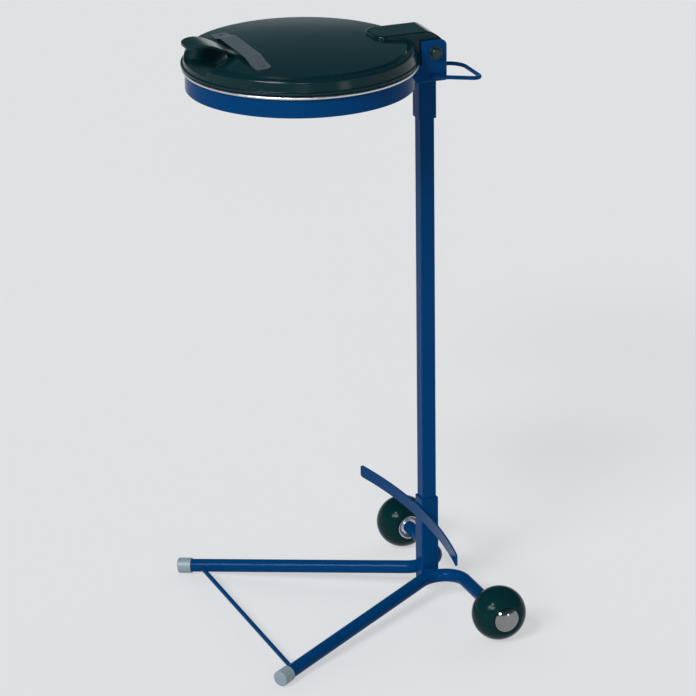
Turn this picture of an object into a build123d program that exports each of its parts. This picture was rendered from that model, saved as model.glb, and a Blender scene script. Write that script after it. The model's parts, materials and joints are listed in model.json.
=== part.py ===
from build123d import *
import math
import os

os.makedirs("parts", exist_ok=True)

# Wheeled stand for waste sacks: a square post on a V-shaped tubular foot, a steel ring that
# the sack hangs from, and a hinged moulded lid. X runs along the wheel axle, the stand's
# front faces -Y, +Z is up and the floor is z = 0. Lengths are in millimetres.

# Clearances
weld_gap = 0.1          # between curved faces that are welded or clamped together
plug_gap = 0.25         # post inside its sleeves, on every side
run_gap = 0.4           # between faces that turn past each other
pin_gap = 0.08          # round the axles and the hinge bolt
lid_gap = 0.5           # closed lid above the top edge of the ring band

# Post and sleeves
post_side = 26.0
post_wall = 1.5
post_corner = 2.0
post_inset = 4.0        # post's ends inside the outer ends of the sleeves
sleeve_side = 32.0
sleeve_corner = 2.5
lower_sleeve_z = 30.0
lower_sleeve_length = 160.0
upper_sleeve_length = 72.0

# Foot frame: two tubes in one sloping plane, each bent round the sleeve
tube_d = 23.5
tube_wall = 1.5
tube_bend_r = 45.0
foot_x = 264.0
foot_y = -380.0
tube_end_x = 190.0
foot_cap_wall = 2.0
foot_cap_end = 3.0
foot_cap_length = 25.0
foot_cap_round = 2.5
brace_rod_d = 8.0
brace_rod_y = -347.0

# Bowed bar that keeps the sack's foot off the wheels
bow_length = 450.0
bow_height = 22.0
bow_thickness = 3.0
bow_radius = 1100.0
bow_top_z = 175.0
bow_end_round = 5.0
bow_offset = 10.0       # its middle beside the post's axis

# Wheels and axles
axle_y = 43.0
wheel_d = 96.0
wheel_width = 72.0
wheel_crown_rise = 20.5
wheel_recess_depth = 3.0
wheel_recess_gap = 1.0  # recess round the hub cap and the cup washer
axle_d = 12.0
axle_plug_length = 26.0
axle_collar = 2.6
axle_tip = 5.0
cup_washer_d = 43.0
cup_washer_floor_d = 29.0
cup_washer_depth = 6.0
cup_washer_wall = 1.2
hub_cap_d = 44.0
hub_cap_height = 9.0
hub_cap_rim = 2.5
hub_cap_wall = 1.0
hub_cap_socket_wall = 1.5

# Ring for the sack
band_d = 391.0
band_gap = 30.5         # between the band's back and the post's axis
band_thickness = 2.5
band_edge_r = 0.6
band_bottom_z = 978.0
band_height = 38.0
clamp_wire_d = 5.4
clamp_drop = 3.0        # centre of the clamping ring below the band's top edge

# Hinge bracket, a U of plate on top of the upper sleeve
bracket_half_width = 40.0
bracket_plate = 3.0
bracket_front_y = -20.5
bracket_back_y = 25.0
bracket_base_drop = 12.0    # below the band's lower edge
bracket_step_rise = 21.0    # step in the front edge above the band's lower edge
bracket_top_rise = 22.5     # above the hinge
bracket_corner_r = 11.0
bracket_front_corner_r = 2.0
bracket_bend_r = 4.5
bracket_lug_y = -38.0
hinge_y = 4.5
hinge_rise = 1.5            # above the band's upper edge

# Hinge bolt
bolt_d = 6.0
bolt_head_flats = 10.0
bolt_head_height = 4.0
bolt_nut_height = 5.0
bolt_tail = 1.2
bolt_washer_d = 16.0
bolt_washer_thickness = 1.6
bolt_cap_flange_d = 25.0
bolt_cap_flange = 2.0
bolt_cap_wall = 1.2
bolt_cap_round = 2.5

# Handle of bent wire behind the bracket
handle_wire_d = 7.0
handle_slope = 7.5
handle_front_y = -4.0
handle_front_rise = 11.0    # above the bracket's base
handle_reach = 94.0
handle_spread = 6.0         # outwards on each side towards the back
handle_bend_r = 20.0

# Lid
lid_wall = 3.0
lid_skirt_gap = 3.0         # skirt's lower edge outside the ring band
lid_flange_width = 3.5
lid_flange_rise = 2.5       # above the band's upper edge
lid_flange_thickness = 4.0
lid_skirt_draft = 3.0
lid_skirt_height = 17.5     # this and the next heights are above the flange's underside
lid_shoulder_width = 7.0
lid_shoulder_height = 24.0
lid_groove_width = 4.0
lid_groove_height = 22.5
lid_step_width = 3.5        # from the groove up to the crown's edge
lid_crown_height = 27.0
lid_height = 34.5
lid_edge_r = 1.2
lid_rib_count = 12
lid_rib_thickness = 2.5
lid_rib_width = 10.0
lid_rib_start = 15.0

# Hinge tongue, a hood that grows out of the lid's crown and closes round the bolt
tongue_half_width = 34.0
tongue_front_y = -100.0
tongue_over_crown = 1.5     # above the crown's middle
tongue_slope_y = -6.0
tongue_shoulder_y = 15.0
tongue_shoulder_rise = 25.0
tongue_back_y = 27.5
tongue_back_rise = 6.5      # this and the shoulder's are above the hinge
tongue_bottom_drop = 16.5   # below the hinge
tongue_under_y = -17.0
tongue_bottom_r = 8.0
tongue_edge_r = 4.0
tongue_front_r = 20.0
tongue_wall = 3.5
barrel_d = 18.0
notch_gap = 1.2        # flange outside the circle that the bracket's corners draw
notch_side_gap = 1.0    # flange beside the bracket's plates

# Grip lip at the lid's front
grip_half_width = 30.0
grip_root_inset = 94.0      # this and the next insets are behind the lid's front edge
grip_middle_inset = 56.0
grip_middle_rise = 8.0      # centre of the lip above the crown's middle
grip_crest_inset = 23.0
grip_crest_rise = 20.0
grip_overhang = 5.5         # in front of the lid's front edge
grip_thickness = 4.5
grip_tip_round = 22.0
grip_nose_half_width = 25.0
grip_drop = 3.0
grip_end_fall = 0.15

# Finger recess in the crown's edge under the grip lip
recess_overhang = 4.5       # its axis in front of the lid's front edge
recess_top_r = 70.5
recess_depth = 15.5         # below the crown's edge
recess_slope = 38.0

# Flat strap across the lid's crown
strap_width = 28.0
strap_thickness = 2.5
strap_inset = 96.5          # centre line behind the lid's front edge
strap_length = 230.0
strap_flat_length = 126.0
strap_foot_length = 26.0
strap_rise = 5.0
strap_end_round = 8.0
strap_bend_r = 6.0
rivet_inset = 12.0
rivet_shank_d = 4.0
rivet_head_d = 7.0
rivet_head_height = 1.2
rivet_tail_d = 7.0
rivet_tail_height = 1.4

# Screws that hold the post in its sleeves, at the back
screw_d = 4.2
screw_head_d = 8.0
screw_head_height = 2.6
screw_length = 9.0
screw_from_sleeve_end = 25.0

# Values that follow from the ones above
tube_r = tube_d / 2
wheel_r = wheel_d / 2
foot_cap_r = tube_r + weld_gap + foot_cap_wall
band_r = band_d / 2
ring_centre_y = -band_gap - band_r
band_top_z = band_bottom_z + band_height
bracket_base_z = band_bottom_z - bracket_base_drop
bracket_step_z = band_bottom_z + bracket_step_rise
hinge_z = band_top_z + hinge_rise
bracket_top_z = hinge_z + bracket_top_rise
lid_skirt_bottom_r = band_r + lid_skirt_gap
lid_flange_r = lid_skirt_bottom_r + lid_flange_width
lid_skirt_top_r = lid_skirt_bottom_r - lid_skirt_draft
lid_shoulder_r = lid_skirt_top_r - lid_shoulder_width
lid_groove_r = lid_shoulder_r - lid_groove_width
lid_crown_r = lid_groove_r - lid_step_width
lid_front_y = ring_centre_y - lid_flange_r
lid_flange_z = band_top_z + lid_flange_rise
lid_skirt_top_z = lid_flange_z + lid_skirt_height
lid_shoulder_z = lid_flange_z + lid_shoulder_height
lid_groove_z = lid_flange_z + lid_groove_height
lid_crown_z = lid_flange_z + lid_crown_height
lid_top_z = lid_flange_z + lid_height
recess_floor_z = lid_crown_z - recess_depth
grip_root_y = lid_front_y + grip_root_inset
grip_middle_y = lid_front_y + grip_middle_inset
grip_crest_y = lid_front_y + grip_crest_inset
grip_tip_y = lid_front_y - grip_overhang
grip_crest_z = lid_top_z + grip_crest_rise
recess_y = lid_front_y - recess_overhang
strap_y = lid_front_y + strap_inset
rivet_x = strap_length / 2 - rivet_inset
tongue_top_z = lid_top_z + tongue_over_crown
tongue_shoulder_z = hinge_z + tongue_shoulder_rise
tongue_back_z = hinge_z + tongue_back_rise
tongue_bottom_z = hinge_z - tongue_bottom_drop
clamp_ring_r = band_r + weld_gap + clamp_wire_d / 2
clamp_ring_z = band_top_z - clamp_drop
lower_sleeve_top_z = lower_sleeve_z + lower_sleeve_length
upper_sleeve_z = bracket_base_z - weld_gap - upper_sleeve_length
post_bottom_z = lower_sleeve_z + post_inset
post_top_z = bracket_base_z - post_inset
sleeve_bore = post_side + 2 * plug_gap

# The stand is built round the post's axis. Its origin is the middle of the whole plan, so
# every piece is moved by this distance when it is written.
handle_tilt = math.radians(handle_slope)
handle_back_y = handle_front_y + handle_reach * math.cos(handle_tilt) + handle_wire_d / 2
plan_middle_y = (grip_tip_y + handle_back_y) / 2
to_plan_middle = Location((0, -plan_middle_y, 0))

# Centre plane of the foot frame: level with the axle at the back, resting on the caps in front
tube_slope = math.atan2(wheel_r - foot_cap_r, axle_y - foot_y)
base_plane = Plane(
    origin=(0, axle_y, wheel_r),
    x_dir=(1, 0, 0),
    z_dir=(0, -math.sin(tube_slope), math.cos(tube_slope)),
)
foot_v = (foot_y - axle_y) / math.cos(tube_slope)
brace_rod_v = (brace_rod_y - axle_y) / math.cos(tube_slope)

# Each foot tube's bend just touches the sleeve's flank with its inner side
bend_x = sleeve_side / 2 + weld_gap + tube_r + tube_bend_r
foot_to_bend = math.hypot(bend_x - foot_x, -tube_bend_r - foot_v)
foot_straight = math.sqrt(foot_to_bend**2 - tube_bend_r**2)
foot_heading = math.atan2(-tube_bend_r - foot_v, bend_x - foot_x) + math.asin(tube_bend_r / foot_to_bend)
tube_end_inset = foot_cap_end + weld_gap


def save(piece, label):
    """Label a finished piece, move it into the plan's frame and write it."""
    piece.part.label = label
    piece.part.move(to_plan_middle)
    export_step(piece.part, f"parts/{label}.step")


def foot_tube_path(side, from_end):
    """Centre line of a foot tube from near its front end, round the sleeve, to the axle."""
    reach_x = math.cos(foot_heading)
    reach_v = math.sin(foot_heading)
    with BuildLine(base_plane) as path:
        leg = Line(
            (side * (foot_x + from_end * reach_x), foot_v + from_end * reach_v),
            (side * (foot_x + foot_straight * reach_x), foot_v + foot_straight * reach_v),
        )
        bend = TangentArc(leg @ 1, (side * bend_x, 0), tangent=leg % 1)
        Line(bend @ 1, (side * tube_end_x, 0))
    return path.line


def make_base_tube(side):
    path = foot_tube_path(side, tube_end_inset)
    with BuildPart() as tube:
        with BuildSketch(path ^ 0):
            Circle(tube_r)
            Circle(tube_r - tube_wall, mode=Mode.SUBTRACT)
        sweep(path=path)
    return tube


def make_foot_cap(side):
    """Cup-shaped end cap pushed over the front end of a foot tube."""
    path = foot_tube_path(side, 0)
    with BuildPart() as cap:
        with BuildSketch(path ^ 0):
            Circle(foot_cap_r)
        extrude(amount=foot_cap_length)
        fillet(cap.faces().sort_by(Axis.Y)[0].edges(), radius=foot_cap_round)
        with BuildSketch(Plane(path ^ 0).offset(foot_cap_end)):
            Circle(tube_r + weld_gap)
        extrude(amount=foot_cap_length, mode=Mode.SUBTRACT)
    return cap


def make_square_tube(side, corner, bore, bore_corner, bottom, length, hole_heights):
    """Square tube on the post's axis with screw holes through its back wall."""
    with BuildPart() as tube:
        with BuildSketch(Plane.XY.offset(bottom)):
            RectangleRounded(side, side, corner)
            RectangleRounded(bore, bore, bore_corner, mode=Mode.SUBTRACT)
        extrude(amount=length)
        with BuildSketch(Plane.XZ):
            with Locations([(0, z) for z in hole_heights]):
                Circle(screw_d / 2 + weld_gap)
        extrude(amount=-side, mode=Mode.SUBTRACT)
    return tube


# Foot frame
for side, hand in ((1, "right"), (-1, "left")):
    save(make_base_tube(side), f"base_tube_{hand}")
    save(make_foot_cap(side), f"foot_cap_{hand}")

# Round bar between the feet, coped to the tubes that it is welded to
brace_rod_half = foot_x + (brace_rod_v - foot_v) / math.tan(foot_heading)
with BuildPart() as brace_rod:
    with BuildSketch(Plane.YZ):
        with Locations((brace_rod_y, wheel_r + brace_rod_v * math.sin(tube_slope))):
            Circle(brace_rod_d / 2)
    extrude(amount=brace_rod_half, both=True)
    for side in (1, -1):
        leg_start = foot_tube_path(side, tube_end_inset) ^ 0
        with BuildSketch(leg_start):
            Circle(tube_r + weld_gap)
        extrude(amount=foot_straight, mode=Mode.SUBTRACT)
save(brace_rod, "brace_rod")

# Square tubes: the sleeve that stands between the feet, the post, and the sleeve at the top
screw_heights = (lower_sleeve_top_z - screw_from_sleeve_end, upper_sleeve_z + screw_from_sleeve_end)
lower_sleeve = make_square_tube(
    sleeve_side, sleeve_corner, sleeve_bore, post_corner,
    lower_sleeve_z, lower_sleeve_length, screw_heights[:1],
)
save(lower_sleeve, "lower_sleeve")
post = make_square_tube(
    post_side, post_corner, post_side - 2 * post_wall, post_corner - post_wall,
    post_bottom_z, post_top_z - post_bottom_z, screw_heights,
)
save(post, "post")
upper_sleeve = make_square_tube(
    sleeve_side, sleeve_corner, sleeve_bore, post_corner,
    upper_sleeve_z, upper_sleeve_length, screw_heights[1:],
)
save(upper_sleeve, "upper_sleeve")

# Button-head screws that fix the post in both sleeves
with BuildPart() as post_screws:
    with BuildSketch(Plane.XZ.offset(-sleeve_side / 2)):
        with Locations([(0, z) for z in screw_heights]):
            Circle(screw_head_d / 2)
    extrude(amount=-screw_head_height)
    head_tops = post_screws.faces().filter_by(Axis.Y).group_by(Axis.Y)[-1]
    fillet(head_tops.edges(), radius=screw_head_height / 2)
    with BuildSketch(Plane.XZ.offset(-sleeve_side / 2)):
        with Locations([(0, z) for z in screw_heights]):
            Circle(screw_d / 2)
    extrude(amount=screw_length)
save(post_screws, "post_screws")

# Flat bar on edge, bowed in plan and welded to the front of the lower sleeve
bow_half = bow_length / 2
bow_sag = bow_radius - math.sqrt(bow_radius**2 - bow_half**2)
bow_y = -sleeve_side / 2 - weld_gap - bow_thickness / 2
with BuildPart() as bow_bar:
    with BuildSketch(Plane.XY.offset(bow_top_z - bow_height)):
        with BuildLine():
            ThreePointArc(
                (bow_offset - bow_half, bow_y - bow_sag),
                (bow_offset, bow_y),
                (bow_offset + bow_half, bow_y - bow_sag),
            )
        trace(line_width=bow_thickness)
    extrude(amount=bow_height)
    end_faces = bow_bar.faces().sort_by(Axis.X)
    end_corners = end_faces[0].edges() + end_faces[-1].edges()
    fillet(end_corners.filter_by(Axis.Z, reverse=True), radius=bow_end_round)
save(bow_bar, "bow_bar")

# Stations along the axle, from the tube's end outwards
washer_x = tube_end_x + axle_collar
cup_floor_x = washer_x + cup_washer_wall + run_gap
wheel_inner_x = washer_x + cup_washer_wall - cup_washer_depth
wheel_x = wheel_inner_x + wheel_width / 2
recess_floor_x = wheel_inner_x + wheel_width - wheel_recess_depth
hub_cap_x = recess_floor_x + run_gap
axle_end_x = recess_floor_x + axle_tip
axle_line = Axis((0, axle_y, wheel_r), (1, 0, 0))
axle_section = Plane(origin=(0, axle_y, wheel_r))
hub_dome_rise = hub_cap_height - hub_cap_rim
hub_dome_r = ((hub_cap_d / 2) ** 2 + hub_dome_rise**2) / (2 * hub_dome_rise)


def hub_dome_x(radius, inset):
    """Distance of the hub cap's dome from its rim at a radius, inside the surface by inset."""
    return hub_cap_height - hub_dome_r + math.sqrt((hub_dome_r - inset) ** 2 - radius**2)


def make_wheel(side):
    """Barrel-shaped solid wheel, bored for the axle and dished for its washer and cap."""
    inner_x = side * wheel_inner_x
    outer_x = side * (wheel_inner_x + wheel_width)
    face_r = wheel_r - wheel_crown_rise
    bore_r = axle_d / 2 + pin_gap
    with BuildPart() as wheel:
        with BuildSketch(axle_section):
            with BuildLine():
                Polyline(
                    (side * cup_floor_x, bore_r),
                    (side * cup_floor_x, cup_washer_floor_d / 2),
                    (inner_x, cup_washer_d / 2 + wheel_recess_gap),
                    (inner_x, face_r),
                )
                ThreePointArc((inner_x, face_r), (side * wheel_x, wheel_r), (outer_x, face_r))
                Polyline(
                    (outer_x, face_r),
                    (outer_x, hub_cap_d / 2 + wheel_recess_gap),
                    (side * recess_floor_x, hub_cap_d / 2 + wheel_recess_gap),
                    (side * recess_floor_x, bore_r),
                    (side * cup_floor_x, bore_r),
                )
            make_face()
        revolve(axis=axle_line)
    return wheel


def make_axle(side):
    """Turned axle: a plug inside the tube, a collar at its end and the shaft for the wheel."""
    plug_r = tube_r - tube_wall - weld_gap
    with BuildPart() as axle:
        with BuildSketch(axle_section):
            with BuildLine():
                Polyline(
                    (side * (tube_end_x - axle_plug_length), 0),
                    (side * (tube_end_x - axle_plug_length), plug_r),
                    (side * tube_end_x, plug_r),
                    (side * tube_end_x, tube_r),
                    (side * washer_x, tube_r),
                    (side * washer_x, axle_d / 2),
                    (side * axle_end_x, axle_d / 2),
                    (side * axle_end_x, 0),
                    close=True,
                )
            make_face()
        revolve(axis=axle_line)
    return axle


def make_cup_washer(side):
    """Dished sheet washer between the tube's end and the wheel, open towards the tube."""
    floor_r = cup_washer_floor_d / 2 - cup_washer_wall
    rim_r = cup_washer_d / 2
    bore_r = axle_d / 2 + pin_gap
    back_x = side * (washer_x + cup_washer_wall)
    with BuildPart() as washer:
        with BuildSketch(axle_section):
            with BuildLine():
                Polyline(
                    (side * washer_x, bore_r),
                    (side * washer_x, floor_r),
                    (side * wheel_inner_x, rim_r - cup_washer_wall),
                    (side * wheel_inner_x, rim_r),
                    (back_x, floor_r + cup_washer_wall / 2),
                    (back_x, bore_r),
                    close=True,
                )
            make_face()
        revolve(axis=axle_line)
    return washer


def make_hub_cap(side):
    """Thin domed cap with an inner socket that is pushed on the axle's end."""
    socket_r = axle_d / 2 + hub_cap_socket_wall
    inner_r = hub_cap_d / 2 - hub_cap_wall
    socket_floor = axle_end_x - hub_cap_x + weld_gap
    middle_r = hub_cap_d / 4
    with BuildPart() as cap:
        with BuildSketch(axle_section):
            with BuildLine():
                ThreePointArc(
                    (side * (hub_cap_x + hub_cap_height), 0),
                    (side * (hub_cap_x + hub_dome_x(middle_r, 0)), middle_r),
                    (side * (hub_cap_x + hub_cap_rim), hub_cap_d / 2),
                )
                Polyline(
                    (side * (hub_cap_x + hub_cap_rim), hub_cap_d / 2),
                    (side * hub_cap_x, hub_cap_d / 2),
                    (side * hub_cap_x, inner_r),
                    (side * (hub_cap_x + hub_dome_x(inner_r, hub_cap_wall)), inner_r),
                )
                ThreePointArc(
                    (side * (hub_cap_x + hub_dome_x(inner_r, hub_cap_wall)), inner_r),
                    (side * (hub_cap_x + hub_dome_x(middle_r, hub_cap_wall)), middle_r),
                    (side * (hub_cap_x + hub_dome_x(socket_r, hub_cap_wall)), socket_r),
                )
                Polyline(
                    (side * (hub_cap_x + hub_dome_x(socket_r, hub_cap_wall)), socket_r),
                    (side * hub_cap_x, socket_r),
                    (side * hub_cap_x, axle_d / 2 + weld_gap),
                    (side * (hub_cap_x + socket_floor), axle_d / 2 + weld_gap),
                    (side * (hub_cap_x + socket_floor), 0),
                    (side * (hub_cap_x + hub_cap_height), 0),
                )
            make_face()
        revolve(axis=axle_line)
    return cap


for side, hand in ((1, "right"), (-1, "left")):
    save(make_axle(side), f"axle_{hand}")
    save(make_cup_washer(side), f"cup_washer_{hand}")
    save(make_wheel(side), f"wheel_{hand}")
    save(make_hub_cap(side), f"hub_cap_{hand}")

# Ring band that the sack hangs in, and the round-wire ring that clamps the sack's edge on it
ring_axis = Axis((0, ring_centre_y, 0), (0, 0, 1))
with BuildPart() as ring_band:
    with BuildSketch(Plane((0, ring_centre_y, band_bottom_z))):
        Circle(band_r)
        Circle(band_r - band_thickness, mode=Mode.SUBTRACT)
    extrude(amount=band_height)
    fillet(ring_band.edges().filter_by(GeomType.CIRCLE), radius=band_edge_r)
save(ring_band, "ring_band")

with BuildPart() as clamp_ring:
    with BuildSketch(Plane.YZ):
        with Locations((ring_centre_y + clamp_ring_r, clamp_ring_z)):
            Circle(clamp_wire_d / 2)
    revolve(axis=ring_axis)
save(clamp_ring, "clamp_ring")

# Hinge bracket: plate bent to a U, its front edge cut round to the ring band
hinge_line = Axis((0, hinge_y, hinge_z), (1, 0, 0))
bracket_height = bracket_top_z - bracket_base_z
with BuildPart() as hinge_bracket:
    with BuildSketch(Plane.XZ):
        with Locations((0, (bracket_base_z + bracket_top_z) / 2)):
            Rectangle(2 * bracket_half_width, bracket_height)
        with Locations((0, (bracket_base_z + bracket_top_z) / 2 + bracket_plate)):
            Rectangle(2 * (bracket_half_width - bracket_plate), bracket_height, mode=Mode.SUBTRACT)
    extrude(amount=-bracket_lug_y)
    extrude(
        hinge_bracket.faces().filter_by(Axis.Y).sort_by(Axis.Y)[-1],
        amount=bracket_back_y,
    )
    base_edges = hinge_bracket.edges().filter_by(Axis.Y).group_by(Axis.Z)
    fillet(base_edges[0], radius=bracket_bend_r)
    fillet(base_edges[1], radius=bracket_bend_r - bracket_plate)
    with BuildSketch(Plane.YZ):
        with BuildLine():
            Polyline(
                (bracket_back_y, bracket_base_z),
                (bracket_back_y, bracket_top_z),
                (bracket_front_y, bracket_top_z),
                (bracket_front_y, bracket_step_z),
                (bracket_lug_y, bracket_step_z),
                (bracket_lug_y, bracket_base_z),
                close=True,
            )
        side_view = make_face()
        top_corners = side_view.vertices().group_by(Axis.Y)[-1].sort_by(Axis.X)
        fillet(top_corners[-1], radius=bracket_corner_r)
        fillet(side_view.vertices().group_by(Axis.Y)[-1].sort_by(Axis.X)[0], radius=bracket_front_corner_r)
    extrude(amount=bracket_half_width, both=True, mode=Mode.INTERSECT)
    with BuildSketch(Plane((0, ring_centre_y, bracket_base_z))):
        Circle(band_r + weld_gap)
    extrude(amount=bracket_height, mode=Mode.SUBTRACT)
    with BuildSketch(Plane.YZ):
        with Locations((hinge_y, hinge_z)):
            Circle(bolt_d / 2 + weld_gap)
    extrude(amount=bracket_half_width, both=True, mode=Mode.SUBTRACT)
save(hinge_bracket, "hinge_bracket")

# Hinge bolt with its head on the left, a nut on the right and a washer under each
bolt_head_x = bracket_half_width + bolt_washer_thickness
bolt_end_x = bolt_head_x + bolt_nut_height + bolt_tail
hinge_section = Plane(origin=(0, hinge_y, hinge_z), x_dir=(0, 1, 0), z_dir=(1, 0, 0))
with BuildPart() as hinge_bolt:
    with BuildSketch(hinge_section.offset(-bolt_head_x)):
        RegularPolygon(bolt_head_flats / 2, 6, major_radius=False)
    extrude(amount=-bolt_head_height)
    with BuildSketch(hinge_section.offset(-bolt_head_x)):
        Circle(bolt_d / 2)
    extrude(amount=bolt_head_x + bolt_end_x)
save(hinge_bolt, "hinge_bolt")

with BuildPart() as hinge_nut:
    with BuildSketch(hinge_section.offset(bolt_head_x)):
        RegularPolygon(bolt_head_flats / 2, 6, major_radius=False)
        Circle(bolt_d / 2 + pin_gap, mode=Mode.SUBTRACT)
    extrude(amount=bolt_nut_height)
save(hinge_nut, "hinge_nut")

with BuildPart() as bolt_washers:
    with BuildSketch(hinge_section.offset(bracket_half_width)):
        Circle(bolt_washer_d / 2)
        Circle(bolt_d / 2 + pin_gap, mode=Mode.SUBTRACT)
    extrude(amount=bolt_washer_thickness)
    mirror(about=Plane.YZ)
save(bolt_washers, "bolt_washers")

# Moulded caps over the bolt's head and nut: a flange on the bracket and a hollow dome
cap_bore_r = bolt_washer_d / 2 + weld_gap
cap_depth = bolt_washer_thickness + bolt_nut_height + bolt_tail + weld_gap
cap_height = cap_depth + bolt_cap_wall
with BuildPart() as bolt_caps:
    with BuildSketch(hinge_section.offset(bracket_half_width)):
        Circle(bolt_cap_flange_d / 2)
    extrude(amount=bolt_cap_flange)
    with BuildSketch(hinge_section.offset(bracket_half_width)):
        Circle(cap_bore_r + bolt_cap_wall)
    extrude(amount=cap_height)
    fillet(bolt_caps.faces().sort_by(Axis.X)[-1].edges(), radius=bolt_cap_round)
    with BuildSketch(hinge_section.offset(bracket_half_width)):
        Circle(cap_bore_r)
    extrude(amount=cap_depth, mode=Mode.SUBTRACT)
    mirror(about=Plane.YZ)
save(bolt_caps, "bolt_caps")

# Handle of round wire, a U whose legs are welded to the outside of the bracket
handle_leg_x = bracket_half_width + weld_gap + handle_wire_d / 2
handle_plane = Plane(
    origin=(0, handle_front_y, bracket_base_z + handle_front_rise),
    x_dir=(1, 0, 0),
    z_dir=(0, math.sin(handle_tilt), math.cos(handle_tilt)),
)
with BuildPart() as rear_handle:
    with BuildLine(handle_plane) as handle_path:
        FilletPolyline(
            (handle_leg_x, 0),
            (handle_leg_x + handle_spread, handle_reach),
            (-handle_leg_x - handle_spread, handle_reach),
            (-handle_leg_x, 0),
            radius=handle_bend_r,
        )
    with BuildSketch(handle_path.line ^ 0):
        Circle(handle_wire_d / 2)
    sweep(path=handle_path.line)
save(rear_handle, "rear_handle")

# Lid. The crown is a shallow dome, so a point and a plane on it follow from its radius.
dome_r = (lid_crown_r**2 + (lid_top_z - lid_crown_z) ** 2) / (2 * (lid_top_z - lid_crown_z))


def dome_z(radius, inset=0.0):
    """Height of the crown's surface, or of one inside it, at a distance from the lid's axis."""
    return lid_top_z - dome_r + math.sqrt((dome_r - inset) ** 2 - radius**2)


def crown_plane(x, y):
    """Plane that touches the crown at x, y, with its normal outwards."""
    z = dome_z(math.hypot(x, y - ring_centre_y))
    normal = Vector(x, y - ring_centre_y, z - (lid_top_z - dome_r)).normalized()
    return Plane(origin=(x, y, z), x_dir=Vector(0, 1, 0).cross(normal), z_dir=normal)


lid_section = Plane(origin=(0, ring_centre_y, 0), x_dir=(1, 0, 0), z_dir=(0, -1, 0))
shoulder_mid_r = lid_shoulder_r + (lid_skirt_top_r - lid_shoulder_r) * math.sin(math.pi / 4)
shoulder_mid_z = lid_skirt_top_z + (lid_shoulder_z - lid_skirt_top_z) * math.sin(math.pi / 4)
with BuildPart() as lid_form:
    with BuildSketch(lid_section):
        with BuildLine():
            Polyline(
                (0, lid_flange_z),
                (lid_flange_r, lid_flange_z),
                (lid_flange_r, lid_flange_z + lid_flange_thickness),
                (lid_skirt_bottom_r, lid_flange_z + lid_flange_thickness),
                (lid_skirt_top_r, lid_skirt_top_z),
            )
            ThreePointArc(
                (lid_skirt_top_r, lid_skirt_top_z),
                (shoulder_mid_r, shoulder_mid_z),
                (lid_shoulder_r, lid_shoulder_z),
            )
            Polyline(
                (lid_shoulder_r, lid_shoulder_z),
                (lid_groove_r, lid_groove_z),
                (lid_crown_r, lid_crown_z),
            )
            ThreePointArc(
                (lid_crown_r, lid_crown_z),
                (lid_crown_r / 2, dome_z(lid_crown_r / 2)),
                (0, lid_top_z),
            )
            Line((0, lid_top_z), (0, lid_flange_z))
        make_face()
    revolve(axis=ring_axis)
    flange_rims = lid_form.edges().filter_by(GeomType.CIRCLE).sort_by(SortBy.RADIUS)[-2:]
    fillet(flange_rims, radius=lid_edge_r)


def make_recess_tool(extra):
    """Cone that cuts the finger recess, or one that is wider and deeper by extra."""
    spread = math.tan(math.radians(recess_slope))
    floor_z = recess_floor_z - extra
    top_z = lid_top_z
    floor_r = recess_top_r - (lid_crown_z - recess_floor_z) * spread + extra
    top_r = floor_r + (top_z - floor_z) * spread
    with BuildPart() as tool:
        with BuildSketch(Plane((0, recess_y, floor_z))):
            Circle(floor_r)
        with BuildSketch(Plane((0, recess_y, top_z))):
            Circle(top_r)
        loft()
    return tool.part


with BuildPart() as lid_hollow:
    with BuildSketch(lid_section):
        with BuildLine():
            Polyline(
                (0, dome_z(0, lid_wall)),
                (0, lid_flange_z - lid_wall),
                (lid_skirt_bottom_r - lid_wall, lid_flange_z - lid_wall),
                (lid_skirt_bottom_r - lid_wall, lid_flange_z),
                (lid_skirt_top_r - lid_wall, lid_skirt_top_z - lid_wall / 2),
                (lid_shoulder_r - lid_wall / 2, lid_groove_z - lid_wall),
                (lid_crown_r - lid_wall / 2, lid_groove_z - lid_wall),
                (lid_crown_r - lid_wall, dome_z(lid_crown_r - lid_wall, lid_wall)),
            )
            ThreePointArc(
                (lid_crown_r - lid_wall, dome_z(lid_crown_r - lid_wall, lid_wall)),
                (lid_crown_r / 2, dome_z(lid_crown_r / 2, lid_wall)),
                (0, dome_z(0, lid_wall)),
            )
        make_face()
    revolve(axis=ring_axis)
    add(make_recess_tool(lid_wall), mode=Mode.SUBTRACT)

# Side view of the hinge tongue; the hollow inside it has the same outline, one wall smaller
with BuildSketch(Plane.YZ) as tongue_side:
    with BuildLine():
        Line((tongue_front_y, lid_flange_z), (tongue_front_y, tongue_top_z))
        Line((tongue_front_y, tongue_top_z), (tongue_slope_y, tongue_top_z))
        ThreePointArc(
            (tongue_slope_y, tongue_top_z),
            (tongue_shoulder_y, tongue_shoulder_z),
            (tongue_back_y, tongue_back_z),
        )
        Polyline(
            (tongue_back_y, tongue_back_z),
            (tongue_back_y, tongue_bottom_z),
            (tongue_under_y, tongue_bottom_z),
            (tongue_under_y, lid_flange_z),
            (tongue_front_y, lid_flange_z),
        )
    make_face()
    fillet(tongue_side.vertices().group_by(Axis.Y)[0], radius=tongue_bottom_r)
tongue_hollow_front_y = ring_centre_y + lid_skirt_top_r
tongue_hollow_length = tongue_back_y - tongue_wall - tongue_hollow_front_y
tongue_hollow_half_width = tongue_half_width - tongue_wall
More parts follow.
